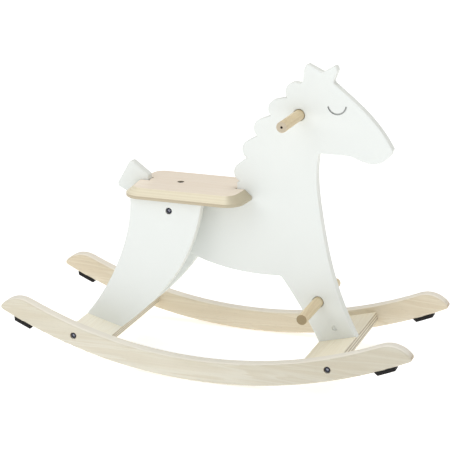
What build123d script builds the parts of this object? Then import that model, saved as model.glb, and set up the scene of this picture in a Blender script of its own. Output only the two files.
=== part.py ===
from build123d import *

import os
from math import acos, atan2, cos, radians, sin

# Rocking horse. Millimetres, +Z up, the horse faces +X, its left side is +Y.
# Origin: under the middle of the horse, at the height of the rockers' lowest line.

# ---- Stock ----
panel_thickness = 18.0          # body panel, hind legs, crossboards and seat are all this board
rocker_thickness = 22.0
bar_diameter = 20.0

# ---- Rockers ----
overall_length = 800.0
overall_width = 304.0           # outer face to outer face
rocker_radius = 900.0           # underside, which rolls on the floor
rocker_depth = 42.5             # at the middle
rocker_top_radius = 850.0       # top edge, a little tighter than the underside
rocker_end_radius = 48.0        # rounds the top down to each tip
rocker_nose_radius = 6.0        # rounds the tip itself
rocker_edge_round = 4.0

# ---- Crossboards, tilted to follow the rockers ----
board_angle = 15.0              # from the rocker centre's vertical to the board's middle
board_width = 75.0
board_height = 22.5             # board's mid-plane above the rocker's underside
board_bolt_offset = 22.0        # from the board's middle towards the rocker's tip
board_dowel_offset = -18.0      # towards the middle of the horse
board_edge_round = 1.5
housing_depth = 3.0             # groove in the front board for the front leg's foot

# ---- Seat ----
seat_height = 333.0             # top face above the floor line
seat_rear = -180.0
seat_front = 57.0
seat_width = 157.0
seat_corner = 34.0
seat_bow = 7.0                  # how far each end curves outwards
seat_bevel_width = 14.0
seat_bevel_height = 12.0
notch_relief_radius = 2.2       # round cut-outs in the notches' inner corners

# ---- Body panel ----
neck_back = 27.0                # where the neck leaves the seat
tail_front = -150.0             # where the tail leaves the seat
panel_edge_round = 2.5
mane_scallops = 5
mane_radius = 18.5
mane_spacing = 47.0
mane_first = (137.5, 189.0)     # centre of the scallop beside the ear: x, and height over the seat
mane_heading = 226.0            # direction of the second scallop from the first
mane_turn = 8.0                 # change of direction from scallop to scallop
mane_back_angle = -12.0         # end of each scallop, from the direction of the next one
eye_centre = (217.0, 172.0)     # x, and height over the seat
eye_radius = 17.0
eye_span = (197.0, 349.0)
eye_width = 3.0
eye_depth = 2.8
body_corner_radius = 8.0        # at the belly and under the tail
tail_corner_radius = 7.0
crook_radius = 5.0              # hollows of the outline, and the brow
ear_radius = 4.5

# ---- Hind legs ----
leg_spread = 124.0              # outer face to outer face
leg_edge_round = 2.5

# ---- Bearer under the seat ----
bearer_centre = -88.0
bearer_width = 36.0
bearer_height = 44.0
bearer_edge_round = 1.5

# ---- Bars ----
bar_length = 215.0
handle_place = (146.0, 148.0)   # x, and height over the seat
footrest_place = (186.0, 129.0) # x, and height over the floor line
bar_relief_diameter = 23.0      # wider mouth of each bar hole
bar_relief_depth = 5.0
bar_end_round = 1.2
centre_hole_diameter = 4.5      # turning centre left in the handle's ends
centre_hole_depth = 10.0

# ---- Pads under the rockers' ends ----
pad_angle = 23.1                # from the rocker centre's vertical to the pad's middle
pad_length = 42.0
pad_bottom_length = 34.0
pad_thickness = 7.0
pad_width = 18.0
pad_screw_spacing = 18.0

# ---- Fasteners ----
bolt_diameter = 6.0
bolt_head_diameter = 10.0
bolt_head_height = 6.0
bolt_socket_width = 5.0         # across the hexagon's flats
bolt_socket_depth = 3.5
bolt_head_chamfer = 0.5
bolt_end_chamfer = 0.8
bolt_recess_diameter = 13.0
bolt_recess_depth = 7.0
rocker_bolt_length = 50.0
leg_bolt_length = 35.0
seat_bolt_length = 30.0
foot_bolt_length = 40.0
barrel_diameter = 10.0
barrel_length = 14.0
barrel_slot_width = 1.2
barrel_slot_depth = 1.5
barrel_chamfer = 0.4
rocker_barrel_inset = 30.0      # from the end of a crossboard
leg_barrel_inset = 15.0         # from the end of the bearer
seat_barrel_drop = 12.0         # below the seat's underside
foot_barrel_height = 21.7       # above a crossboard's top face
dowel_diameter = 8.0
dowel_length = 30.0
dowel_chamfer = 0.8
dowel_in_board_edge = 18.0      # of its length, the part in a crossboard's end
dowel_in_panel = 12.0           # the part in a board's or the seat's face
foot_dowel_offset = 24.0        # each side of a foot's middle
seat_dowel_places = (-145.0, -48.0)
body_dowel_place = 0.0
pad_screw_diameter = 3.5
pad_screw_length = 20.0
pad_screw_head = 7.0
pad_screw_head_height = 2.4
pad_screw_recess = 2.5
pad_screw_drive = 2.0           # square drive, as wide as this and a little deeper
pad_screw_drive_depth = 1.2

# ---- Clearances ----
bolt_clearance = 0.4            # on the diameter
thread_clearance = 0.15
barrel_clearance = 0.3
dowel_clearance = 0.2
hole_end_clearance = 0.5        # beyond the end of a dowel, barrel nut or bolt
bar_clearance = 0.3
notch_clearance = 0.8           # each side of the panel in the seat
lap_clearance = 0.2             # each side in the bearer's cross-lap
housing_clearance = 0.3         # each side of the foot in its groove
overcut = 1.0                   # how far a cutting shape runs past the face it opens

# ---- Worked-out places ----
half_length = overall_length / 2
rocker_gap = overall_width - 2 * rocker_thickness
rocker_inner = rocker_gap / 2
rocker_outer = overall_width / 2
seat_underside = seat_height - panel_thickness
leg_outer = leg_spread / 2
leg_inner = leg_outer - panel_thickness
leg_middle = leg_outer - panel_thickness / 2
half_panel = panel_thickness / 2


def at(x, z, y=0.0):
    """A point in the horse's side view."""
    return Vector(x, y, z)


def over_seat(x, rise):
    """A point in the side view, by its height over the seat's top face."""
    return at(x, seat_height + rise)


def side_slab(edges, thickness, middle=0.0, corners=()):
    """A board in the side view, cut to an outline with rounded corners, centred on y = middle."""
    outline = Face(Wire(edges))
    for radius, places in corners:
        found = [min(outline.vertices(), key=lambda vertex: (vertex.center() - place).length)
                 for place in places]
        outline = outline.fillet_2d(radius, found)
    slab = Solid.extrude(outline, Vector(0, thickness, 0))
    return Pos(0, middle - thickness / 2, 0) * slab


def rounded_rim(solid, radius, keep_sharp=()):
    """Rounds the two rims of a side slab, but not the stretches that meet another piece."""
    box = solid.bounding_box()

    def on_rim(edge):
        size = edge.bounding_box()
        flat = size.size.Y < 0.01
        return flat and min(abs(size.min.Y - box.min.Y), abs(size.max.Y - box.max.Y)) < 0.01

    def meets(edge):
        middle = edge @ 0.5
        return any(test(middle.X, middle.Z) for test in keep_sharp)

    rims = [edge for edge in solid.edges() if on_rim(edge) and not meets(edge)]
    return solid.fillet(radius, rims)


def cylinder_between(start, direction, length, diameter):
    """A plain rod from a start point along a direction."""
    plane = Plane(origin=start, z_dir=direction)
    return plane * Cylinder(diameter / 2, length, align=(Align.CENTER, Align.CENTER, Align.MIN))


def board_point(end, along, up):
    """A point on a crossboard: along its slope from its middle, and up from its mid-plane."""
    turn = radians(board_angle)
    reach = rocker_radius - board_height
    x = reach * sin(turn) + along * cos(turn) - up * sin(turn)
    z = rocker_radius - reach * cos(turn) + along * sin(turn) + up * cos(turn)
    return end * x, z


def board_normal(end):
    """The upward direction of a crossboard."""
    turn = radians(board_angle)
    return Vector(-end * sin(turn), 0, cos(turn))


def board_along(end):
    """The direction down the length of the horse in a crossboard's face, towards the tip."""
    turn = radians(board_angle)
    return Vector(end * cos(turn), 0, sin(turn))


# ---- Fasteners ----

def socket_bolt(under_head, direction, length):
    """A socket-head bolt: the point under its head, and the way its shank points."""
    plane = Plane(origin=under_head, z_dir=direction)
    shank = Cylinder(bolt_diameter / 2, length, align=(Align.CENTER, Align.CENTER, Align.MIN))
    head = Cylinder(bolt_head_diameter / 2, bolt_head_height, align=(Align.CENTER, Align.CENTER, Align.MAX))
    bolt = shank + head
    bolt = chamfer(bolt.edges().group_by(Axis.Z)[0], bolt_head_chamfer)
    bolt = chamfer(bolt.edges().group_by(Axis.Z)[-1], bolt_end_chamfer)
    socket = extrude(RegularPolygon(bolt_socket_width / 2, 6, major_radius=False), bolt_socket_depth)
    return plane * (bolt - Pos(0, 0, -bolt_head_height) * socket)


def bolt_hole(under_head, direction, length):
    """Clearance hole and head recess for a socket bolt."""
    backward = -Vector(direction)
    depth = length + hole_end_clearance
    hole = cylinder_between(under_head, direction, depth, bolt_diameter + bolt_clearance)
    recess = cylinder_between(under_head, backward, bolt_recess_depth + overcut, bolt_recess_diameter)
    return hole + recess


def barrel_nut(centre, axis, bolt_direction):
    """A barrel nut with its cross bore and the slot that turns it."""
    plane = Plane(origin=centre, x_dir=bolt_direction, z_dir=axis)
    barrel = chamfer(Cylinder(barrel_diameter / 2, barrel_length).edges(), barrel_chamfer)
    bore = Rot(0, 90, 0) * Cylinder(bolt_diameter / 2 + thread_clearance, barrel_diameter + 2 * overcut)
    slot = Pos(0, 0, barrel_length / 2) * Box(barrel_diameter, barrel_slot_width, 2 * barrel_slot_depth)
    return plane * (barrel - bore - slot)


def barrel_hole(centre, axis, mouth):
    """Blind hole for a barrel nut, open at a distance mouth along the axis."""
    bottom = Vector(centre) - Vector(axis) * (barrel_length / 2 + hole_end_clearance)
    length = mouth + barrel_length / 2 + hole_end_clearance
    return cylinder_between(bottom, axis, length, barrel_diameter + barrel_clearance)


def dowel(face_point, direction, behind):
    """A grooveless locating dowel through a joint face, with a given length behind it."""
    start = Vector(face_point) - Vector(direction) * behind
    pin = Cylinder(dowel_diameter / 2, dowel_length, align=(Align.CENTER, Align.CENTER, Align.MIN))
    pin = chamfer(pin.edges().filter_by(GeomType.CIRCLE), dowel_chamfer)
    return Plane(origin=start, z_dir=direction) * pin


def dowel_hole(face_point, direction, behind):
    """The two blind holes that a dowel fits."""
    start = Vector(face_point) - Vector(direction) * (behind + hole_end_clearance)
    return cylinder_between(start, direction, dowel_length + 2 * hole_end_clearance,
                            dowel_diameter + dowel_clearance)


# ---- Places of the joints, shared by the pieces on both sides ----

handle_axis = over_seat(*handle_place)
footrest_axis = at(*footrest_place)


def rocker_bolt_sites():
    """Under-head point and direction of each bolt through a rocker into a crossboard."""
    under_head = rocker_outer - bolt_recess_depth
    for end in (1, -1):
        x, z = board_point(end, board_bolt_offset, 0)
        for side in (1, -1):
            yield end, side, at(x, z, side * under_head), Vector(0, -side, 0)


def rocker_dowel_sites():
    for end in (1, -1):
        x, z = board_point(end, board_dowel_offset, 0)
        for side in (1, -1):
            yield end, side, at(x, z, side * rocker_inner), Vector(0, side, 0)


def feet():
    """The board end, the leg's middle y, and the y direction from which its barrel nut goes in."""
    return ((1, 0.0, -1), (-1, leg_middle, -1), (-1, -leg_middle, 1))


def foot_bolt_sites():
    up = bolt_recess_depth - half_panel
    for end, middle, _ in feet():
        x, z = board_point(end, 0, up)
        yield end, at(x, z, middle), board_normal(end)


def foot_barrel_sites():
    for end, middle, opening in feet():
        x, z = board_point(end, 0, half_panel + foot_barrel_height)
        yield end, middle, at(x, z, middle), Vector(0, opening, 0)


def foot_dowel_sites():
    for end, middle, _ in feet():
        sunk = housing_depth if end > 0 else 0
        for offset in (foot_dowel_offset, -foot_dowel_offset):
            x, z = board_point(end, offset, half_panel - sunk)
            yield end, middle, at(x, z, middle), board_normal(end), dowel_in_panel - sunk


def leg_bolt_sites():
    z = seat_underside - bearer_height / 2
    for side in (1, -1):
        yield side, at(bearer_centre, z, side * (leg_outer - bolt_recess_depth)), Vector(0, -side, 0)


def seat_dowel_sites():
    for x in seat_dowel_places:
        for side in (1, -1):
            yield at(x, seat_underside, side * leg_middle)
    yield at(body_dowel_place, seat_underside)


seat_bolt_site = at(bearer_centre, seat_height - bolt_recess_depth)
seat_barrel_site = at(bearer_centre, seat_underside - seat_barrel_drop)


def leg_barrel_site(side):
    return at(bearer_centre, seat_underside - bearer_height / 2, side * (leg_inner - leg_barrel_inset))


def rocker_barrel_site(end, side):
    x, z = board_point(end, board_bolt_offset, 0)
    return at(x, z, side * (rocker_inner - rocker_barrel_inset))


# ---- Rockers ----

def circle_meeting(first, first_radius, second, second_radius):
    """The meeting of two circles that lies to the left of the way from first to second."""
    apart = second - first
    span = apart.length
    bearing = atan2(apart.Z, apart.X)
    swing = acos((first_radius ** 2 + span ** 2 - second_radius ** 2) / (2 * first_radius * span))
    return first + at(first_radius * cos(bearing + swing), first_radius * sin(bearing + swing))


def arc_about(centre, start, finish):
    """The shorter arc about a centre between two points at the same distance from it."""
    radius = (start - centre).length
    halfway = (start - centre).normalized() + (finish - centre).normalized()
    return Edge.make_three_point_arc(start, centre + halfway.normalized() * radius, finish)


def rocker_outline():
    """Underside and top arcs, joined at each end by a large round and a small nose."""
    under_centre = at(0, rocker_radius)
    top_centre = at(0, rocker_depth + rocker_top_radius)
    nose_x = half_length - rocker_nose_radius
    nose_reach = rocker_radius - rocker_nose_radius
    nose = at(nose_x, rocker_radius - (nose_reach ** 2 - nose_x ** 2) ** 0.5)
    shoulder = circle_meeting(nose, rocker_end_radius - rocker_nose_radius,
                              top_centre, rocker_top_radius + rocker_end_radius)
    under_tip = under_centre + (nose - under_centre).normalized() * rocker_radius
    nose_top = shoulder + (nose - shoulder).normalized() * rocker_end_radius
    top_tip = top_centre + (shoulder - top_centre).normalized() * rocker_top_radius

    def mirrored(point):
        return at(-point.X, point.Z)

    edges = [arc_about(under_centre, mirrored(under_tip), under_tip),
             arc_about(top_centre, mirrored(top_tip), top_tip)]
    for flip in (lambda point: point, mirrored):
        edges.append(arc_about(flip(nose), flip(under_tip), flip(nose_top)))
        edges.append(arc_about(flip(shoulder), flip(nose_top), flip(top_tip)))
    return edges


def rocker(side):
    slab = side_slab(rocker_outline(), rocker_thickness, side * (rocker_inner + rocker_thickness / 2))
    slab = rounded_rim(slab, rocker_edge_round)
    for end, hole_side, point, direction in rocker_bolt_sites():
        if hole_side == side:
            slab -= bolt_hole(point, direction, rocker_bolt_length)
    for end, hole_side, point, direction in rocker_dowel_sites():
        if hole_side == side:
            slab -= dowel_hole(point, direction, dowel_in_board_edge)
    for end in (1, -1):
        for screw_point, direction in pad_screw_sites(end, side):
            slab -= cylinder_between(screw_point, direction, pad_screw_length + hole_end_clearance,
                                     pad_screw_diameter + thread_clearance)
    return slab


# ---- Pads ----

def polar(radius, angle):
    """A point at a radius from the rockers' centre, at an angle from straight down."""
    return radius * sin(angle), rocker_radius - radius * cos(angle)


def pad(end, side):
    """A block with slanted ends, bent to the rocker's underside."""
    middle = end * radians(pad_angle)
    top = pad_length / 2 / rocker_radius
    bottom = pad_bottom_length / 2 / rocker_radius
    low = rocker_radius + pad_thickness
    corners = [at(*polar(rocker_radius, middle - top)), at(*polar(rocker_radius, middle + top)),
               at(*polar(low, middle + bottom)), at(*polar(low, middle - bottom))]
    edges = [
        Edge.make_three_point_arc(corners[0], at(*polar(rocker_radius, middle)), corners[1]),
        Edge.make_line(corners[1], corners[2]),
        Edge.make_three_point_arc(corners[2], at(*polar(low, middle)), corners[3]),
        Edge.make_line(corners[3], corners[0]),
    ]
    block = side_slab(edges, pad_width, side * (rocker_inner + rocker_thickness / 2))
    for head_point, direction in pad_screw_sites(end, side):
        block -= cylinder_between(head_point, direction, pad_screw_length,
                                  pad_screw_diameter + bolt_clearance)
        low_point = head_point - direction * (pad_screw_recess + overcut)
        depth = pad_screw_recess + overcut + pad_screw_head_height
        block -= cylinder_between(low_point, direction, depth, pad_screw_head + bolt_clearance)
    return block


def pad_screw_sites(end, side):
    """The outer face of each screw's head, and the way it points."""
    y = side * (rocker_inner + rocker_thickness / 2)
    for offset in (pad_screw_spacing / 2, -pad_screw_spacing / 2):
        angle = end * radians(pad_angle) + offset / rocker_radius
        x, z = polar(rocker_radius + pad_thickness - pad_screw_recess, angle)
        yield at(x, z, y), Vector(-sin(angle), 0, cos(angle))


def pad_screw(head_point, direction):
    """A pan-head screw with a square drive."""
    plane = Plane(origin=head_point, z_dir=direction)
    low = (Align.CENTER, Align.CENTER, Align.MIN)
    head = Cylinder(pad_screw_head / 2, pad_screw_head_height, align=low)
    shank_length = pad_screw_length - pad_screw_head_height
    shank = Pos(0, 0, pad_screw_head_height) * Cylinder(pad_screw_diameter / 2, shank_length, align=low)
    drive = Box(pad_screw_drive, pad_screw_drive, 2 * pad_screw_drive_depth)
    return plane * (head + shank - drive)


# ---- Crossboards ----

def crossboard(end):
    face = Plane(origin=at(*board_point(end, 0, 0)), x_dir=board_along(end), z_dir=board_normal(end))
    board = face * Box(board_width, rocker_gap, panel_thickness)
    long_edges = board.edges().filter_by(Axis.Y)
    board = fillet(long_edges, board_edge_round)
    if end > 0:
        groove_width = panel_thickness + 2 * housing_clearance
        groove_length = board_width + 2 * overcut
        board -= face * Pos(0, 0, half_panel) * Box(groove_length, groove_width, 2 * housing_depth)
    for hole_end, side, point, direction in rocker_bolt_sites():
        if hole_end == end:
            board -= bolt_hole(point, direction, rocker_bolt_length)
            nut = rocker_barrel_site(end, side)
            board -= barrel_hole(nut, -board_normal(end), half_panel + overcut)
    for hole_end, side, point, direction in rocker_dowel_sites():
        if hole_end == end:
            board -= dowel_hole(point, direction, dowel_in_board_edge)
    for hole_end, point, direction in foot_bolt_sites():
        if hole_end == end:
            board -= bolt_hole(point, direction, foot_bolt_length)
    for hole_end, middle, point, direction, behind in foot_dowel_sites():
        if hole_end == end:
            board -= dowel_hole(point, direction, behind)
    return board


def foot_cuts(solid, end, middle):
    """Bolt, barrel nut and dowel holes in the foot of a leg."""
    for bolt_end, point, direction in foot_bolt_sites():
        if bolt_end == end and abs(point.Y - middle) < 1:
            solid -= cylinder_between(point, direction, foot_bolt_length + hole_end_clearance,
                                      bolt_diameter + bolt_clearance)
    for nut_end, nut_middle, point, opening in foot_barrel_sites():
        if nut_end == end and abs(nut_middle - middle) < 1:
            solid -= barrel_hole(point, opening, half_panel + overcut)
    for dowel_end, dowel_middle, point, direction, behind in foot_dowel_sites():
        if dowel_end == end and abs(dowel_middle - middle) < 1:
            solid -= dowel_hole(point, direction, behind)
    return solid


# ---- Hind legs ----

def hind_leg_outline():
    heel = at(*board_point(-1, board_width / 2, half_panel))
    toe = at(*board_point(-1, -board_width / 2, half_panel))

    def on_leg(x, share):
        """A point at a share of the leg's full height."""
        return at(x, share * seat_underside)

    top_front = on_leg(-23, 1)
    top_rear = on_leg(-166, 1)
    return [
        Edge.make_line(heel, toe),
        Edge.make_spline([toe, on_leg(-113, 0.39), on_leg(-71, 0.565), on_leg(-41, 0.762),
                          on_leg(-27, 0.92), top_front]),
        Edge.make_line(top_front, top_rear),
        Edge.make_spline([top_rear, on_leg(-171, 0.813), on_leg(-189, 0.619), on_leg(-208, 0.483), heel]),
    ]


def hind_leg(side):
    slab = side_slab(hind_leg_outline(), panel_thickness, side * leg_middle)
    heel_z = board_point(-1, board_width / 2, half_panel)[1]
    def at_seat(x, z):
        return z > seat_underside - 0.1

    board_inner_x = board_point(-1, -board_width / 2, 0)[0]

    def at_board(x, z):
        return x < board_inner_x and z < heel_z

    slab = rounded_rim(slab, leg_edge_round, keep_sharp=(at_seat, at_board))
    for bolt_side, point, direction in leg_bolt_sites():
        if bolt_side == side:
            slab -= bolt_hole(point, direction, leg_bolt_length)
    for point in seat_dowel_sites():
        if abs(point.Y - side * leg_middle) < 1:
            slab -= dowel_hole(point, Vector(0, 0, -1), dowel_in_panel)
    return foot_cuts(slab, -1, side * leg_middle)


# ---- Body panel ----

def mane_edges(start, finish):
    """Scallops down the neck: each a straight back that runs tangent onto a round end."""
    edges = []
    centre = over_seat(*mane_first)
    heading = mane_heading
    here = start
    for number in range(mane_scallops):
        away = here - centre
        bearing = atan2(away.Z, away.X)
        lean = acos(mane_radius / away.length)
        first = bearing + lean
        last = radians(heading + mane_back_angle)
        touch = centre + at(mane_radius * cos(first), mane_radius * sin(first))
        notch = centre + at(mane_radius * cos(last), mane_radius * sin(last))
        middle = (first + last) / 2
        bulge = centre + at(mane_radius * cos(middle), mane_radius * sin(middle))
        edges.append(Edge.make_line(here, touch))
        edges.append(Edge.make_three_point_arc(touch, bulge, notch))
        here = notch
        centre += at(mane_spacing * cos(radians(heading)), mane_spacing * sin(radians(heading)))
        heading += mane_turn
    edges.append(Edge.make_line(here, finish))
    return edges


def body_outline():
    """Closed side-view outline, and the radius of each corner that is rounded."""
    sunk = half_panel - housing_depth
    heel = at(*board_point(1, -board_width / 2, sunk))
    toe = at(*board_point(1, board_width / 2, sunk))
    belly_corner = over_seat(113, -161)
    rump = over_seat(-160, -43)
    tail_low = over_seat(-217, -16)
    tail_high = over_seat(-187, 37)
    tail_neck = over_seat(tail_front, 10)
    tail_foot = at(tail_front, seat_underside)
    neck_foot = at(neck_back, seat_underside)
    neck_rise = over_seat(neck_back, 12)
    ear_foot = over_seat(151, 206)
    ear_back = over_seat(154, 233)
    ear_tip = over_seat(159, 243)
    ear_valley = over_seat(189, 229)
    second_tip = over_seat(213.5, 244)
    second_front = over_seat(217, 233)
    brow = over_seat(209, 212)
    nose = over_seat(320.5, 97)
    throat = over_seat(184, 79.5)
    jaw = over_seat(240, 79.5)
    corners = (
        (body_corner_radius, (belly_corner, rump)),
        (tail_corner_radius, (tail_low, tail_high)),
        (crook_radius, (tail_neck, neck_rise, ear_foot, ear_valley, brow, throat)),
        (ear_radius, (ear_back, ear_tip, second_tip, second_front)),
    )
    edges = [
        Edge.make_line(toe, heel),
        Edge.make_spline([heel, at(153, 114), belly_corner]),
        Edge.make_spline([belly_corner, over_seat(60, -162), over_seat(-15, -153),
                          over_seat(-80, -130), over_seat(-133, -90), rump]),
        Edge.make_line(rump, tail_low),
        Edge.make_line(tail_low, tail_high),
        Edge.make_line(tail_high, tail_neck),
        Edge.make_line(tail_neck, tail_foot),
        Edge.make_line(tail_foot, neck_foot),
        Edge.make_line(neck_foot, neck_rise),
        *mane_edges(ear_foot, neck_rise),
        Edge.make_line(ear_foot, ear_back),
        Edge.make_line(ear_back, ear_tip),
        Edge.make_line(ear_tip, ear_valley),
        Edge.make_line(ear_valley, second_tip),
        Edge.make_line(second_tip, second_front),
        Edge.make_line(second_front, brow),
        Edge.make_spline([brow, over_seat(235, 191), over_seat(265, 166), over_seat(293, 137), nose]),
        Edge.make_spline([nose, over_seat(311, 80), over_seat(287, 68), over_seat(264, 71.5), jaw]),
        Edge.make_line(jaw, throat),
        Edge.make_spline([throat, over_seat(181.5, 27), over_seat(188, -29), over_seat(213, -147), toe]),
    ]
    return edges, corners


def body_panel():
    edges, corners = body_outline()
    slab = side_slab(edges, panel_thickness, corners=corners)
    foot_level = board_point(1, board_width / 2, half_panel)[1]
    foot_rear = board_point(1, -board_width / 2, half_panel)[0]

    def under_seat(x, z):
        return abs(z - seat_underside) < 0.1

    def in_notch(x, z):
        return seat_underside < z < seat_height and tail_front - overcut < x < neck_back + overcut

    def in_foot(x, z):
        return z < foot_level and x > foot_rear - overcut

    slab = rounded_rim(slab, panel_edge_round, keep_sharp=(under_seat, in_notch, in_foot))
    for place in (handle_axis, footrest_axis):
        slab -= bar_hole(place.X, place.Z)
    slab -= eye_groove(-1) + eye_groove(1)
    lap = bearer_height / 2
    lap_width = bearer_width + 2 * lap_clearance
    slab -= Pos(bearer_centre, 0, seat_underside) * Box(lap_width, 2 * panel_thickness, 2 * lap)
    slab -= dowel_hole(at(body_dowel_place, seat_underside), Vector(0, 0, -1), dowel_in_panel)
    return foot_cuts(slab, 1, 0.0)


def bar_hole(x, z):
    """A close hole for a bar, with a wider mouth in each face."""
    along_y = Vector(0, 1, 0)
    hole = cylinder_between(at(x, z, -panel_thickness), along_y, 2 * panel_thickness,
                            bar_diameter + bar_clearance)
    for side in (1, -1):
        mouth = at(x, z, side * (half_panel - bar_relief_depth))
        hole += cylinder_between(mouth, along_y * side, bar_relief_depth + overcut, bar_relief_diameter)
    return hole


def eye_groove(side):
    """A closed, smiling eye: an arc of round-ended groove."""
    centre = over_seat(*eye_centre)
    x, z = centre.X, centre.Z
    first, last = (radians(angle) for angle in eye_span)
    middle = (first + last) / 2
    points = [at(x + eye_radius * cos(angle), z + eye_radius * sin(angle), side * half_panel)
              for angle in (first, middle, last)]
    path = Edge.make_three_point_arc(*points)
    band = []
    for radius in (eye_radius - eye_width / 2, eye_radius + eye_width / 2):
        band.append([at(x + radius * cos(angle), z + radius * sin(angle), side * half_panel)
                     for angle in (first, middle, last)])
    inner, outer = band
    ends = []
    for index, angle, way in ((0, first, -1), (2, last, 1)):
        reach = eye_width / 2
        tip = points[index] + at(-sin(angle), cos(angle)) * (way * reach)
        ends.append(Edge.make_three_point_arc(inner[index], tip, outer[index]))
    outline = Wire([Edge.make_three_point_arc(*inner), ends[0], Edge.make_three_point_arc(*outer), ends[1]])
    return Solid.extrude(Face(outline), Vector(0, -side * eye_depth, 0))


# ---- Seat ----

def seat_plan(inset=0.0):
    """A rounded rectangle whose two ends bow outwards, drawn at z = 0."""
    half = seat_width / 2 - inset
    front = seat_front - inset
    rear = seat_rear + inset
    shoulder = seat_bow
    edges = [
        Edge.make_line(Vector(rear + shoulder, -half), Vector(front - shoulder, -half)),
        Edge.make_three_point_arc(Vector(front - shoulder, -half), Vector(front, 0),
                                  Vector(front - shoulder, half)),
        Edge.make_line(Vector(front - shoulder, half), Vector(rear + shoulder, half)),
        Edge.make_three_point_arc(Vector(rear + shoulder, half), Vector(rear, 0),
                                  Vector(rear + shoulder, -half)),
    ]
    plan = Face(Wire(edges))
    return plan.fillet_2d(seat_corner - inset, plan.vertices())


def seat():
    vertical = panel_thickness - seat_bevel_height
    block = Solid.extrude(seat_plan(), Vector(0, 0, vertical))
    bevel = loft([Pos(0, 0, vertical) * seat_plan(),
                  Pos(0, 0, panel_thickness) * seat_plan(seat_bevel_width)])
    board = Pos(0, 0, seat_underside) * (block + bevel)
    notch = panel_thickness + 2 * notch_clearance
    tall = 4 * panel_thickness
    for wall, mouth in ((neck_back - notch_clearance, seat_front + overcut),
                        (tail_front + notch_clearance, seat_rear - overcut)):
        middle = (wall + mouth) / 2
        board -= Pos(middle, 0, seat_height) * Box(abs(mouth - wall), notch, tall)
        for side in (1, -1):
            board -= Pos(wall, side * (notch / 2 - notch_relief_radius / 2), seat_height) * Cylinder(
                notch_relief_radius, tall)
    board -= bolt_hole(seat_bolt_site, Vector(0, 0, -1), seat_bolt_length)
    for point in seat_dowel_sites():
        board -= dowel_hole(point, Vector(0, 0, -1), dowel_in_panel)
    return board


def seat_bearer():
    lap = bearer_height / 2
    length = 2 * leg_inner
    rail = Pos(bearer_centre, 0, seat_underside - lap) * Box(bearer_width, length, bearer_height)
    rail = fillet(rail.edges().filter_by(Axis.Y), bearer_edge_round)
    slot_width = panel_thickness + 2 * lap_clearance
    slot_foot = Pos(bearer_centre, 0, seat_underside - bearer_height)
    rail -= slot_foot * Box(2 * bearer_width, slot_width, 2 * lap)
    for side, point, direction in leg_bolt_sites():
        rail -= bolt_hole(point, direction, leg_bolt_length)
        rail -= barrel_hole(leg_barrel_site(side), Vector(0, 0, -1), lap + overcut)
    rail -= bolt_hole(seat_bolt_site, Vector(0, 0, -1), seat_bolt_length)
    rail -= barrel_hole(seat_barrel_site, Vector(1, 0, 0), bearer_width / 2 + overcut)
    return rail


# ---- Bars ----

def bar(place, centre_holes):
    x, z = place.X, place.Z
    along_y = Vector(0, 1, 0)
    rod = cylinder_between(at(x, z, -bar_length / 2), along_y, bar_length, bar_diameter)
    rod = fillet(rod.edges().filter_by(GeomType.CIRCLE), bar_end_round)
    if centre_holes:
        for side in (1, -1):
            mouth = at(x, z, side * (bar_length / 2 + overcut))
            rod -= cylinder_between(mouth, along_y * -side, centre_hole_depth + overcut, centre_hole_diameter)
    return rod


# ---- All nodes ----

side_names = ((1, "left"), (-1, "right"))
end_names = ((1, "front"), (-1, "rear"))
downward = Vector(0, 0, -1)

nodes = {
    "body_panel": body_panel(),
    "seat": seat(),
    "seat_bearer": seat_bearer(),
    "handle_bar": bar(handle_axis, centre_holes=True),
    "footrest_bar": bar(footrest_axis, centre_holes=False),
    "seat_bolt": socket_bolt(seat_bolt_site, downward, seat_bolt_length),
    "seat_barrel_nut": barrel_nut(seat_barrel_site, Vector(1, 0, 0), downward),
}
for side, side_name in side_names:
    nodes[f"rocker_{side_name}"] = rocker(side)
    nodes[f"hind_leg_{side_name}"] = hind_leg(side)
for end, end_name in end_names:
    nodes[f"{end_name}_crossboard"] = crossboard(end)
    for side, side_name in side_names:
        nodes[f"{end_name}_{side_name}_pad"] = pad(end, side)

groups = {
    "rocker_bolts": [socket_bolt(point, direction, rocker_bolt_length)
                     for end, side, point, direction in rocker_bolt_sites()],
    "rocker_barrel_nuts": [barrel_nut(rocker_barrel_site(end, side), -board_normal(end), direction)
                           for end, side, point, direction in rocker_bolt_sites()],
    "rocker_dowels": [dowel(point, direction, dowel_in_board_edge)
                      for end, side, point, direction in rocker_dowel_sites()],
    "hind_leg_bolts": [socket_bolt(point, direction, leg_bolt_length)
                       for side, point, direction in leg_bolt_sites()],
    "hind_leg_barrel_nuts": [barrel_nut(leg_barrel_site(side), downward, direction)
                             for side, point, direction in leg_bolt_sites()],
    "seat_dowels": [dowel(point, downward, dowel_in_panel) for point in seat_dowel_sites()],
    "foot_bolts": [socket_bolt(point, direction, foot_bolt_length)
                   for end, point, direction in foot_bolt_sites()],
    "foot_barrel_nuts": [barrel_nut(point, opening, board_normal(end))
                         for end, middle, point, opening in foot_barrel_sites()],
    "foot_dowels": [dowel(point, direction, behind)
                    for end, middle, point, direction, behind in foot_dowel_sites()],
    "pad_screws": [pad_screw(point, direction)
                   for end, end_name in end_names for side, side_name in side_names
                   for point, direction in pad_screw_sites(end, side)],
}
for name, pieces in groups.items():
    nodes[name] = Compound(children=pieces)

os.makedirs("parts", exist_ok=True)
for name, shape in nodes.items():
    shape.label = name
    export_step(shape, f"parts/{name}.step")
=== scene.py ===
"""A child's rocking horse of painted and varnished boards, on a pale studio floor."""

import math

import bpy
from mathutils import Matrix, Vector


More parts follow.
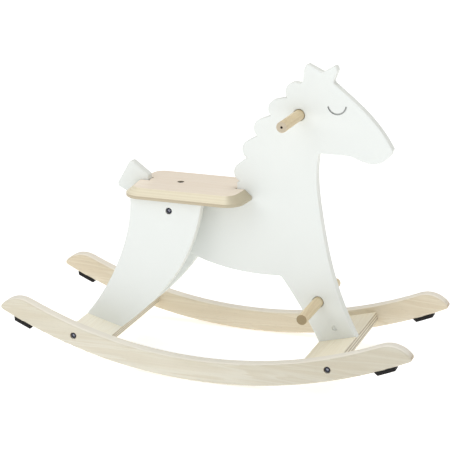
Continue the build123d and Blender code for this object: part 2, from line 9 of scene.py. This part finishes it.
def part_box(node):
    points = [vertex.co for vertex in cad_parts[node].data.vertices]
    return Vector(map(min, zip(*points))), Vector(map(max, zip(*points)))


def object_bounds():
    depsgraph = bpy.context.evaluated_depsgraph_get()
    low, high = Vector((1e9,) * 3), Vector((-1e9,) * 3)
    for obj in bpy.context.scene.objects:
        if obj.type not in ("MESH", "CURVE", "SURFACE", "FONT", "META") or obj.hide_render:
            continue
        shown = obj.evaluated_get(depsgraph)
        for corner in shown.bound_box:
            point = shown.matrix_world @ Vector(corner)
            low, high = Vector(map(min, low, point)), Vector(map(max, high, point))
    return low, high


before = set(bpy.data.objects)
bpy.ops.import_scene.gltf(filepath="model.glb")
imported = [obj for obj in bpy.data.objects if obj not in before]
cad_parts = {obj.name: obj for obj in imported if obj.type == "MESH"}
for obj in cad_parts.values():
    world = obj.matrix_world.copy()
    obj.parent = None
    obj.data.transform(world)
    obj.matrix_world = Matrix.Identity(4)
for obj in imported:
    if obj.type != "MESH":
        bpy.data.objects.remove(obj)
cad_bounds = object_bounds()


# ---- Shader expressions ----

class Wire:
    """A shader socket that can be used in an expression. Its maths is on plain values."""

    def __init__(self, finish, socket):
        self.finish = finish
        self.socket = socket

    def __add__(self, other):
        return self.finish.maths("ADD", self, other)

    def __radd__(self, other):
        return self.finish.maths("ADD", other, self)

    def __sub__(self, other):
        return self.finish.maths("SUBTRACT", self, other)

    def __rsub__(self, other):
        return self.finish.maths("SUBTRACT", other, self)

    def __mul__(self, other):
        return self.finish.maths("MULTIPLY", self, other)

    def __rmul__(self, other):
        return self.finish.maths("MULTIPLY", other, self)

    def __truediv__(self, other):
        return self.finish.maths("DIVIDE", self, other)

    def __rtruediv__(self, other):
        return self.finish.maths("DIVIDE", other, self)

    def __abs__(self):
        return self.finish.maths("ABSOLUTE", self)

    def fraction(self):
        return self.finish.maths("FRACT", self)

    def root(self):
        return self.finish.maths("SQRT", self)

    def rise(self, start, end):
        """0 up to start, 1 from end on, smooth between. start may be the larger."""
        return self.finish.node(
            "ShaderNodeMapRange", {"interpolation_type": "SMOOTHSTEP"},
            {"Value": self, "From Min": start, "From Max": end})

    def band(self, centre, half_width, soft):
        """1 within half_width of centre, fading to 0 over soft."""
        return abs(self - centre).rise(half_width + soft, half_width)


class Finish:
    """A node material with one glossy shader, built from expressions."""

    def __init__(self, name):
        self.material = bpy.data.materials.new(name)
        self.material.use_nodes = True
        self.tree = self.material.node_tree
        self.shader = self.tree.nodes["Principled BSDF"]
        self.place = self.node("ShaderNodeTexCoord", output="Object")
        self.facing = self.node("ShaderNodeNewGeometry", output="Normal")

    def feed(self, socket, value):
        """Links a Wire to a socket, or sets the socket to a plain value."""
        if isinstance(value, Wire):
            self.tree.links.new(value.socket, socket)
        elif socket.type == "RGBA":
            socket.default_value = (*value, 1.0)
        else:
            socket.default_value = value

    def node(self, kind, settings=None, sockets=None, output=0):
        """Any node: its settings first, then its sockets by name or number. Gives one output."""
        made = self.tree.nodes.new(kind)
        for name, value in (settings or {}).items():
            setattr(made, name, value)
        for name, value in (sockets or {}).items():
            self.feed(made.inputs[name], value)
        return Wire(self, made.outputs[output])

    def maths(self, operation, first, second=0.0):
        return self.node("ShaderNodeMath", {"operation": operation}, {0: first, 1: second})

    def part(self, vector, axis):
        """One value of a vector, by its axis letter."""
        return self.node("ShaderNodeSeparateXYZ", sockets={0: vector}, output=axis)

    def stretched(self, scales, shift=(0.0, 0.0, 0.0)):
        """The place on the object, shifted and then stretched by three scales."""
        moved = self.node("ShaderNodeVectorMath", {"operation": "ADD"}, {0: self.place, 1: shift})
        return self.node("ShaderNodeVectorMath", {"operation": "MULTIPLY"}, {0: moved, 1: scales})

    def noise(self, vector, scale=1.0, detail=2.0, roughness=0.5, distortion=0.0):
        return self.node(
            "ShaderNodeTexNoise", {"normalize": True},
            {"Vector": vector, "Scale": scale, "Detail": detail, "Roughness": roughness,
             "Distortion": distortion})

    def along(self, vector, direction):
        """How far a vector goes along a direction."""
        return self.node("ShaderNodeVectorMath", {"operation": "DOT_PRODUCT"},
                         {0: vector, 1: direction}, output="Value")

    def blend(self, amount, first, second):
        """The first colour with an amount of the second mixed in."""
        first_colour, second_colour, mixed_colour = 6, 7, 2
        return self.node("ShaderNodeMix", {"data_type": "RGBA"},
                         {"Factor": amount, first_colour: first, second_colour: second},
                         output=mixed_colour)

    def shade(self, colour, amount):
        """A colour made darker or lighter by a value."""
        return self.node("ShaderNodeVectorMath", {"operation": "SCALE"},
                         {0: colour, "Scale": amount})

    def set(self, **sockets):
        """Sets the shader's own sockets, with underscores for spaces. Gives the material."""
        for name, value in sockets.items():
            self.feed(self.shader.inputs[name.replace("_", " ")], value)
        return self.material

    def relief(self, height, depth):
        """A fine surface relief, height in units of depth metres."""
        bump = self.node(
            "ShaderNodeBump", {}, {"Strength": 1.0, "Distance": depth, "Height": height})
        self.set(Normal=bump)


def tone(red, green, blue):
    """A display colour from 0 to 255 as the linear values that shaders use."""
    def linear(level):
        share = level / 255
        return share / 12.92 if share <= 0.04045 else ((share + 0.055) / 1.055) ** 2.4
    return (linear(red), linear(green), linear(blue))


# ---- Sizes in metres, directions and colours ----

FORWARD = (1.0, 0.0, 0.0)
SIDEWAYS = (0.0, 1.0, 0.0)
UPWARD = (0.0, 0.0, 1.0)
WHITE = (1.0, 1.0, 1.0)

BOARD_SLOPE = math.radians(15.0)
BOARD_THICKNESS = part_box("seat")[1].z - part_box("seat")[0].z
EYE_PLACE = Vector((0.217, 0.0, 0.495))
EYE_REACH = 0.022
SOCKET_DEPTH = 0.0035
# How far from a bar's axis the painted shade inside its centre hole reaches.
PAINTED_HOLE_SHADE_RADIUS = 0.0022

PAINT_RELIEF = 0.00012
VARNISH_RELIEF = 0.00010
RAW_WOOD_RELIEF = 0.00015
METAL_RELIEF = 0.00004
NUT_PAINT_RELIEF = 0.0001
RUBBER_RELIEF = 0.00015

# The colours of one wood: its light and dark growth, and the lines of its rings.
LEFT_ROCKER_WOOD = (tone(236, 226, 204), tone(227, 213, 185), tone(208, 188, 152))
RIGHT_ROCKER_WOOD = (tone(230, 226, 211), tone(221, 214, 193), tone(204, 190, 160))
FRONT_BOARD_WOOD = (tone(245, 238, 216), tone(240, 230, 203), tone(228, 211, 176))
# The rear board has paler colours than the front board of the same plywood: painted light.
REAR_BOARD_WOOD = (tone(254, 251, 238), tone(252, 246, 226), tone(242, 230, 202))
SEAT_WOOD = (tone(248, 237, 222), tone(243, 229, 209), tone(231, 212, 184))
HANDLE_WOOD = (tone(230, 214, 178), tone(218, 198, 158), tone(198, 172, 128))
FOOTREST_WOOD = (tone(240, 227, 196), tone(232, 215, 178), tone(214, 190, 148))
RAW_WOOD = (tone(232, 214, 176), tone(220, 196, 150), tone(200, 170, 120))


# ---- Finishes ----

def white_paint(name, edge_colour, face_colour):
    """Sprayed satin paint on board: even faces, slightly ivory edges, and painted shade in the eye
    groove, darkest on its walls that face forwards.
    """
    finish = Finish(name)
    x, y, z = [finish.part(finish.place, axis) for axis in "XYZ"]
    edge = abs(finish.part(finish.facing, "Y")).rise(0.97, 0.55)
    cloud = finish.noise(finish.place, scale=14.0, detail=3.0, roughness=0.55)
    fibre = finish.noise(finish.stretched((90.0, 1400.0, 90.0)), detail=3.0, roughness=0.6)
    peel = finish.noise(finish.place, scale=620.0)
    dust = finish.noise(finish.place, scale=2400.0, detail=1.0).rise(0.70, 0.82)
    near_eye = x.band(EYE_PLACE.x, EYE_REACH, 0.001) * z.band(EYE_PLACE.z, EYE_REACH, 0.001)
    face = BOARD_THICKNESS / 2
    in_eye = near_eye * abs(y).rise(face - 0.0001, face - 0.0006)
    # Painted shade in the eye groove, darkest on the walls that face forwards.
    painted_groove_shade = in_eye * (0.20 + 0.80 * finish.part(finish.facing, "X").rise(-0.1, 0.5))
    colour = finish.blend(edge * (1.0 - in_eye), face_colour, edge_colour)
    colour = finish.shade(colour, 0.985 + cloud * 0.03)
    colour = finish.shade(colour, 1.0 - edge * (fibre * 0.06) - dust * 0.02)
    colour = finish.blend(painted_groove_shade, colour, tone(52, 52, 54))
    finish.relief(peel * 0.6 + edge * fibre * 0.8, PAINT_RELIEF)
    return finish.set(Base_Color=colour, Roughness=0.40 + cloud * 0.10 + edge * 0.12,
                      Coat_Weight=0.06, Coat_Roughness=0.30, Specular_IOR_Level=0.38)


def grained(finish, grain, colours, seed, streaks=1.0):
    """The colour, relief and streaks of sawn wood whose grain runs along one axis (0, 1 or 2)."""
    light, dark, heart = colours
    shift = (seed * 0.37, seed * 0.61, seed * 0.83)

    def fibres(along_grain, across_grain, **kind):
        scales = [across_grain] * 3
        scales[grain] = along_grain
        return finish.noise(finish.stretched(scales, shift), **kind)

    sweep = fibres(1.6, 26.0, detail=3.0, roughness=0.55, distortion=0.8)
    rings = (sweep * 9.0).fraction()
    rings = rings.rise(0.0, 0.75) * rings.rise(1.0, 0.80)
    streak = fibres(9.0, 420.0, detail=3.0, roughness=0.6)
    pores = fibres(85.0, 1500.0, detail=1.0).rise(0.63, 0.78)
    tint = fibres(1.6 * 0.22, 26.0 * 0.22)
    colour = finish.blend(tint.rise(0.34, 0.66) * streaks, light, dark)
    colour = finish.blend(rings * 0.30 * streaks, colour, heart)
    colour = finish.shade(colour, 1.03 - streak * 0.12 * streaks)
    colour = finish.shade(colour, 1.0 - pores * 0.16 * streaks)
    return colour, streak * 0.6 - pores * 0.7 + rings * 0.15, streak


def sawn_end(finish, grain):
    """1 where a surface cuts across the grain."""
    axis = (FORWARD, SIDEWAYS, UPWARD)[grain]
    return abs(finish.along(finish.facing, axis)).rise(0.55, 0.95)


def varnished(finish, colour, height, streak, roughness=0.42):
    finish.relief(height, VARNISH_RELIEF)
    return finish.set(Base_Color=colour, Roughness=roughness + streak * 0.12,
                      Coat_Weight=0.18, Coat_Roughness=0.22, Specular_IOR_Level=0.40)


def rocker_wood(name, colours, seed, painted_front_shade):
    """Varnished solid birch, cut along the grain, with painted light that makes its upward-facing
    top edge paler.

    The last argument is how much painted shade darkens the board towards its front.
    """
    finish = Finish(name)
    colour, height, streak = grained(finish, 0, colours, seed)
    forward = finish.along(finish.place, FORWARD).rise(-0.10, 0.26)
    # Painted light: surfaces that face upwards are blended towards a pale colour.
    painted_top_light = finish.along(finish.facing, UPWARD).rise(0.35, 0.85)
    # Painted shade: the board grows darker towards its front.
    colour = finish.shade(colour, 1.0 - forward * painted_front_shade)
    colour = finish.blend(painted_top_light * 0.6, colour, tone(252, 247, 236))
    colour = finish.blend(sawn_end(finish, 0) * 0.6, colour, tone(176, 150, 112))
    return varnished(finish, colour, height, streak)


def bar_wood(name, node, colours, end_colour, seed):
    """Turned beech rod: grain along its length, darker sawn ends, and painted shade inside its
    centre hole.
    """
    finish = Finish(name)
    colour, height, streak = grained(finish, 1, colours, seed, streaks=1.2)
    end = sawn_end(finish, 1)
    ring_place = finish.stretched((300.0, 0.0, 300.0), (seed, 0.0, seed * 0.4))
    ring = finish.noise(ring_place, detail=3.0, roughness=0.6)
    colour = finish.blend(end, colour, finish.shade(end_colour, 0.86 + ring * 0.28))
    low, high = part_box(node)
    across = finish.part(finish.place, "X") - (low.x + high.x) / 2
    above = finish.part(finish.place, "Z") - (low.z + high.z) / 2
    off_axis = (across * across + above * above).root()
    # Painted shade: the walls of the centre hole are coloured near black.
    centre = off_axis.rise(0.0028, PAINTED_HOLE_SHADE_RADIUS) * (1.0 - end)
    colour = finish.blend(centre, colour, tone(44, 34, 26))
    return varnished(finish, colour, height, streak, 0.46)


def ply_layers(finish, colour, depth, edge, dark, light, layers):
    """The layers of plywood where its edge shows.

    depth goes from 0 at one face to 1 at the other.
    """
    wavy = finish.noise(finish.place, scale=160.0) * 0.08
    layer = (depth * (layers / 2)).fraction()
    pale = (layer + wavy).band(0.52, 0.22, 0.12)
    speck = finish.noise(finish.place, scale=900.0, roughness=0.6)
    sawn = finish.shade(finish.blend(pale, dark, light), 0.92 + speck * 0.16)
    return finish.blend(edge, colour, sawn)


def board_wood(name, node, colours, seed):
    """Varnished plywood crossboard: grain from side to side, layers on its long edges."""
    finish = Finish(name)
    colour, height, streak = grained(finish, 1, colours, seed, streaks=0.7)
    low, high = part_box(node)
    middle = (low + high) / 2
    lean = math.copysign(BOARD_SLOPE, middle.x)
    out_of_face = Vector((-math.sin(lean), 0.0, math.cos(lean)))
    from_middle = finish.node(
        "ShaderNodeVectorMath", {"operation": "SUBTRACT"}, {0: finish.place, 1: middle})
    depth = finish.along(from_middle, out_of_face) / BOARD_THICKNESS + 0.5
    edge = abs(finish.along(finish.facing, out_of_face)).rise(0.80, 0.45)
    colour = ply_layers(
        finish, colour, depth, edge, tone(172, 158, 136), tone(222, 214, 190), layers=7)
    return varnished(finish, colour, height, streak)


def seat_wood(name):
    """Varnished plywood seat: long grain on top, a pale bevel, and upright sides whose plies are
    darkened with painted shade.

    Surfaces that face forwards are darker too, with painted shade.
    """
    finish = Finish(name)
    colour, height, streak = grained(finish, 0, SEAT_WOOD, seed=3.1, streaks=0.7)
    low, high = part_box("seat")
    depth = (finish.along(finish.place, UPWARD) - low.z) / (high.z - low.z)
    facing_up = finish.part(finish.facing, "Z")
    bevel = facing_up.rise(0.97, 0.85)
    upright = facing_up.rise(0.55, 0.20)
    front = finish.part(finish.facing, "X").rise(0.08, 0.42)
    colour = ply_layers(
        finish, colour, depth, bevel, tone(229, 219, 192), tone(234, 225, 199), layers=9)
    # The upright sides show real plies, darkened with painted shade.
    colour = ply_layers(
        finish, colour, depth, upright, tone(186, 172, 146), tone(196, 184, 158), layers=9)
    # Painted shade on surfaces that face forwards.
    colour = finish.blend(front, colour, tone(188, 178, 152))
    return varnished(finish, colour, height, streak)


def plain_wood(name, grain, seed):
    """Unvarnished wood for what is hidden under the seat and inside the joints."""
    finish = Finish(name)
    colour, height, streak = grained(finish, grain, RAW_WOOD, seed)
    colour = finish.blend(sawn_end(finish, grain) * 0.5, colour, tone(186, 156, 112))
    finish.relief(height, RAW_WOOD_RELIEF)
    return finish.set(Base_Color=colour, Roughness=0.62 + streak * 0.15)


def zinc_in_painted_shade(name, socket_floors):
    """Zinc coloured dark as painted shade of its recess, with a painted highlight on the socket
    floors, given as distances from the middle.
    """
    finish = Finish(name)
    cloud = finish.noise(finish.place, scale=380.0, detail=3.0, roughness=0.6)
    scratch = finish.noise(finish.place, scale=2600.0, roughness=0.6)
    from_middle = abs(finish.along(finish.place, SIDEWAYS))
    # Painted highlight on the socket floors.
    painted_socket_highlight = 0.0
    for distance in socket_floors:
        painted_socket_highlight = from_middle.band(distance, 0.0008, 0.0006) + painted_socket_highlight
    # The dark head colour is painted shade of the recess around the bolt.
    colour = finish.shade(tone(66, 67, 76), 0.86 + cloud * 0.28)
    colour = finish.blend(painted_socket_highlight, colour, tone(228, 230, 240))
    finish.relief(scratch * 0.5 + cloud * 0.5, METAL_RELIEF)
    return finish.set(Base_Color=colour, Metallic=1.0 - painted_socket_highlight, Roughness=0.34 + cloud * 0.18)


def filled_nut(name):
    """A nut painted over with the board around it."""
    finish = Finish(name)
    cloud = finish.noise(finish.place, scale=300.0, detail=3.0, roughness=0.6)
    finish.relief(finish.noise(finish.place, scale=900.0), NUT_PAINT_RELIEF)
    return finish.set(Base_Color=finish.shade(tone(238, 242, 240), 0.96 + cloud * 0.06),
                      Roughness=0.42 + cloud * 0.10, Specular_IOR_Level=0.38)


def zinc(name, colour, roughness):
    """Zinc-plated steel with a turned, slightly cloudy surface."""
    finish = Finish(name)
    cloud = finish.noise(finish.place, scale=380.0, detail=3.0, roughness=0.6)
    scratch = finish.noise(finish.stretched((900.0, 4200.0, 900.0)), roughness=0.6)
    spots = finish.noise(finish.place, scale=1500.0, detail=1.0).rise(0.68, 0.80)
    finish.relief(scratch * 0.5 + cloud * 0.5, METAL_RELIEF)
    return finish.set(Base_Color=finish.shade(colour, 0.86 + cloud * 0.28 - spots * 0.10),
                      Metallic=1.0, Roughness=roughness + cloud * 0.18)


def pad_rubber(name):
    """Matt black rubber with a fine moulded texture and a little dust."""
    finish = Finish(name)
    texture = finish.noise(finish.place, scale=1900.0, roughness=0.6)
    cloud = finish.noise(finish.place, scale=120.0, detail=3.0, roughness=0.6)
    colour = finish.blend(cloud.rise(0.55, 0.80) * 0.35, tone(24, 22, 22), tone(58, 54, 52))
    finish.relief(texture, RUBBER_RELIEF)
    return finish.set(Base_Color=colour, Roughness=0.72 + texture * 0.14, Specular_IOR_Level=0.35)


def dress(node, material):
    """Gives a node its own finish in place of the plain one."""
    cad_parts[node].material_slots[0].material = material


painted = white_paint("painted_board", tone(234, 236, 230), tone(234, 238, 235))
for node in ("body_panel", "hind_leg_left", "hind_leg_right"):
    dress(node, painted)
# The last number for each rocker is its painted shade towards the front.
for node, colours, seed, painted_front_shade in (
        ("rocker_left", LEFT_ROCKER_WOOD, 2.3, 0.05),
        ("rocker_right", RIGHT_ROCKER_WOOD, 7.0, 0.12)):
    dress(node, rocker_wood(node + "_birch", colours, seed, painted_front_shade))
for node, colours, seed in (
        ("front_crossboard", FRONT_BOARD_WOOD, 1.3),
        ("rear_crossboard", REAR_BOARD_WOOD, 4.2)):
    dress(node, board_wood(node + "_ply", node, colours, seed))
dress("seat", seat_wood("seat_ply"))
dress("seat_bearer", plain_wood("bearer_ply", 1, 5.5))
for name, node, colours, end_colour, seed in (
        ("handle_beech", "handle_bar", HANDLE_WOOD, tone(194, 181, 158), 0.7),
        ("footrest_beech", "footrest_bar", FOOTREST_WOOD, tone(153, 135, 100), 4.4)):
    dress(node, bar_wood(name, node, colours, end_colour, seed))
rocker_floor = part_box("rocker_bolts")[1].y - SOCKET_DEPTH
leg_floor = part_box("hind_leg_bolts")[1].y - SOCKET_DEPTH
dress("rocker_bolts", zinc_in_painted_shade("rocker_bolt_zinc", (rocker_floor,)))
dress("hind_leg_bolts", zinc_in_painted_shade("leg_bolt_zinc", (leg_floor,)))
hidden_bolt = zinc_in_painted_shade("hidden_bolt_zinc", ())
for node in ("seat_bolt", "foot_bolts"):
    dress(node, hidden_bolt)
dull_zinc = zinc("dull_zinc", tone(180, 180, 176), 0.40)
for node in ("rocker_barrel_nuts", "hind_leg_barrel_nuts", "seat_barrel_nut", "pad_screws"):
    dress(node, dull_zinc)
dress("foot_barrel_nuts", filled_nut("painted_nut"))
for grain, node in ((1, "rocker_dowels"), (2, "seat_dowels"), (2, "foot_dowels")):
    dress(node, plain_wood(node + "_beech", grain, 7.0))
rubber = pad_rubber("pad_rubber")
for end in ("front", "rear"):
    for side in ("left", "right"):
        dress(f"{end}_{side}_pad", rubber)


# ---- Studio ----

FLOOR_REACH = 14.0
FLOOR_GAP = 0.0005
SKY_LIGHT = 0.42
SKY_SEEN = 1.0

CAMERA_AZIMUTH = math.radians(20.516)
CAMERA_ELEVATION = math.radians(17.249)
CAMERA_ROLL = math.radians(-0.295)
CAMERA_DISTANCE = 2.94
CAMERA_TARGET = Vector((0.0, 0.0, 0.257))
LENS_MM = 125.6
SENSOR_MM = 36.0


def soft_box(name, place, size, watts):
    """A large lamp that faces the middle of the horse."""
    light = bpy.data.lights.new(name, "AREA")
    light.shape = "RECTANGLE"
    light.size, light.size_y = size
    light.energy = watts
    thing = bpy.data.objects.new(name, light)
    bpy.context.scene.collection.objects.link(thing)
    middle = (Vector(cad_bounds[0]) + Vector(cad_bounds[1])) / 2
    thing.location = place
    thing.rotation_euler = (middle - Vector(place)).to_track_quat("-Z", "Y").to_euler()


def pale_floor():
    """White paper that gives off enough light to stay white away from the horse."""
    mesh = bpy.data.meshes.new("floor")
    corners = [(-FLOOR_REACH, -FLOOR_REACH, 0), (FLOOR_REACH, -FLOOR_REACH, 0),
               (FLOOR_REACH, FLOOR_REACH, 0), (-FLOOR_REACH, FLOOR_REACH, 0)]
    mesh.from_pydata(corners, [], [(0, 1, 2, 3)])
    floor = bpy.data.objects.new("floor", mesh)
    bpy.context.scene.collection.objects.link(floor)
    floor.location.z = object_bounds()[0][2] - FLOOR_GAP
    finish = Finish("floor_paper")
    fibre = finish.noise(finish.place, scale=40.0, detail=3.0)
    colour = finish.shade(tone(250, 250, 250), 0.99 + fibre * 0.02)
    away = finish.node(
        "ShaderNodeVectorMath", {"operation": "LENGTH"}, {0: finish.place}, output="Value")
    glow = finish.shade(WHITE, 0.44 + away.rise(0.7, 2.5) * 0.4)
    mesh.materials.append(finish.set(
        Base_Color=colour, Roughness=0.95, Specular_IOR_Level=0.1,
        Emission_Color=glow, Emission_Strength=1.0))


def sky():
    """White all round: dimmer as light on the horse than as the background behind it."""
    world = bpy.data.worlds.new("studio")
    bpy.context.scene.world = world
    world.use_nodes = True
    tree = world.node_tree
    light = tree.nodes["Background"]
    back = tree.nodes.new("ShaderNodeBackground")
    for shader, strength in ((light, SKY_LIGHT), (back, SKY_SEEN)):
        shader.inputs["Color"].default_value = (*WHITE, 1.0)
        shader.inputs["Strength"].default_value = strength
    ray = tree.nodes.new("ShaderNodeLightPath")
    mix = tree.nodes.new("ShaderNodeMixShader")
    tree.links.new(ray.outputs["Is Camera Ray"], mix.inputs[0])
    tree.links.new(light.outputs[0], mix.inputs[1])
    tree.links.new(back.outputs[0], mix.inputs[2])
    tree.links.new(mix.outputs[0], tree.nodes["World Output"].inputs[0])


def place_camera():
    azimuth, elevation = CAMERA_AZIMUTH, CAMERA_ELEVATION
    view = Vector((-math.sin(azimuth) * math.cos(elevation),
                   math.cos(azimuth) * math.cos(elevation), -math.sin(elevation)))
    level = Vector((math.cos(azimuth), math.sin(azimuth), 0.0))
    upright = level.cross(view)
    right = level * math.cos(CAMERA_ROLL) + upright * math.sin(CAMERA_ROLL)
    up = upright * math.cos(CAMERA_ROLL) - level * math.sin(CAMERA_ROLL)
    data = bpy.data.cameras.new("camera")
    data.lens = LENS_MM
    data.sensor_width = SENSOR_MM
    camera = bpy.data.objects.new("camera", data)
    bpy.context.scene.collection.objects.link(camera)
    axes = Matrix((right, up, -view)).transposed()
    stand = Matrix.Translation(CAMERA_TARGET - view * CAMERA_DISTANCE)
    camera.matrix_world = stand @ axes.to_4x4()
    bpy.context.scene.camera = camera


pale_floor()
sky()
soft_box("key", place=(-1.5, -2.2, 2.5), size=(2.8, 2.8), watts=32.0)
soft_box("front_fill", place=(1.8, -2.6, 1.2), size=(2.4, 2.0), watts=8.5)
soft_box("top", place=(0.3, 0.4, 3.2), size=(2.4, 2.4), watts=38.0)
place_camera()
bpy.context.scene.view_settings.view_transform = "Standard"
